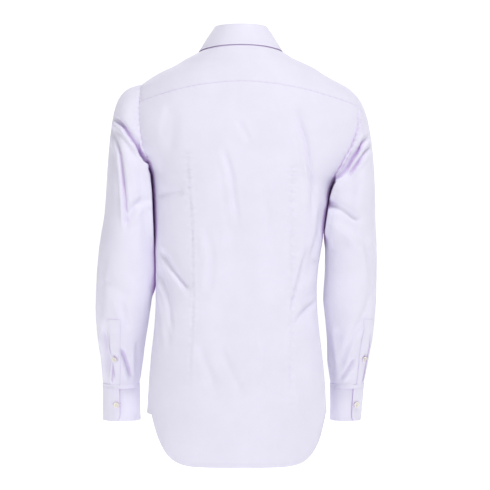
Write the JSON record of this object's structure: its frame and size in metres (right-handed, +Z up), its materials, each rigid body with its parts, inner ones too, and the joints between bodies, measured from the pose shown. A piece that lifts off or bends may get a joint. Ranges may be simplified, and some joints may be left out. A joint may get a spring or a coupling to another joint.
{
  "type": "long sleeve dress shirt",
  "caption": "Men's long sleeve dress shirt in its worn hollow form, with turned collar, back yoke, two back darts, barrel cuffs and a curved shirttail hem.",
  "frame": {"origin": "middle of the neck opening, at the height of the neck seam at the centre back, where the wearer's neck and shoulders hold the shirt", "axes": "+Z up along the wearer, +X to the wearer's left, -Y to the front of the shirt"},
  "size_m": [0.5214, 0.2409, 0.8009],
  "materials": {
    "cloth": "fine lavender cotton, soft sheen",
    "button": "cream shirt button"
  },
  "bodies": {
    "root": {"back": "cloth", "yoke": "cloth", "front_left": "cloth", "front_right": "cloth", "sleeve_left": "cloth", "sleeve_right": "cloth", "cuff_left": "cloth", "cuff_right": "cloth", "gauntlet_left": "cloth", "gauntlet_right": "cloth", "collar_stand": "cloth", "collar_leaf": "cloth", "button_collar": "button", "button_front_1": "button", "button_front_2": "button", "button_front_3": "button", "button_front_4": "button", "button_front_5": "button", "button_front_6": "button", "button_cuff_left": "button", "button_cuff_right": "button", "button_gauntlet_left": "button", "button_gauntlet_right": "button"}
  },
  "joints": []
}
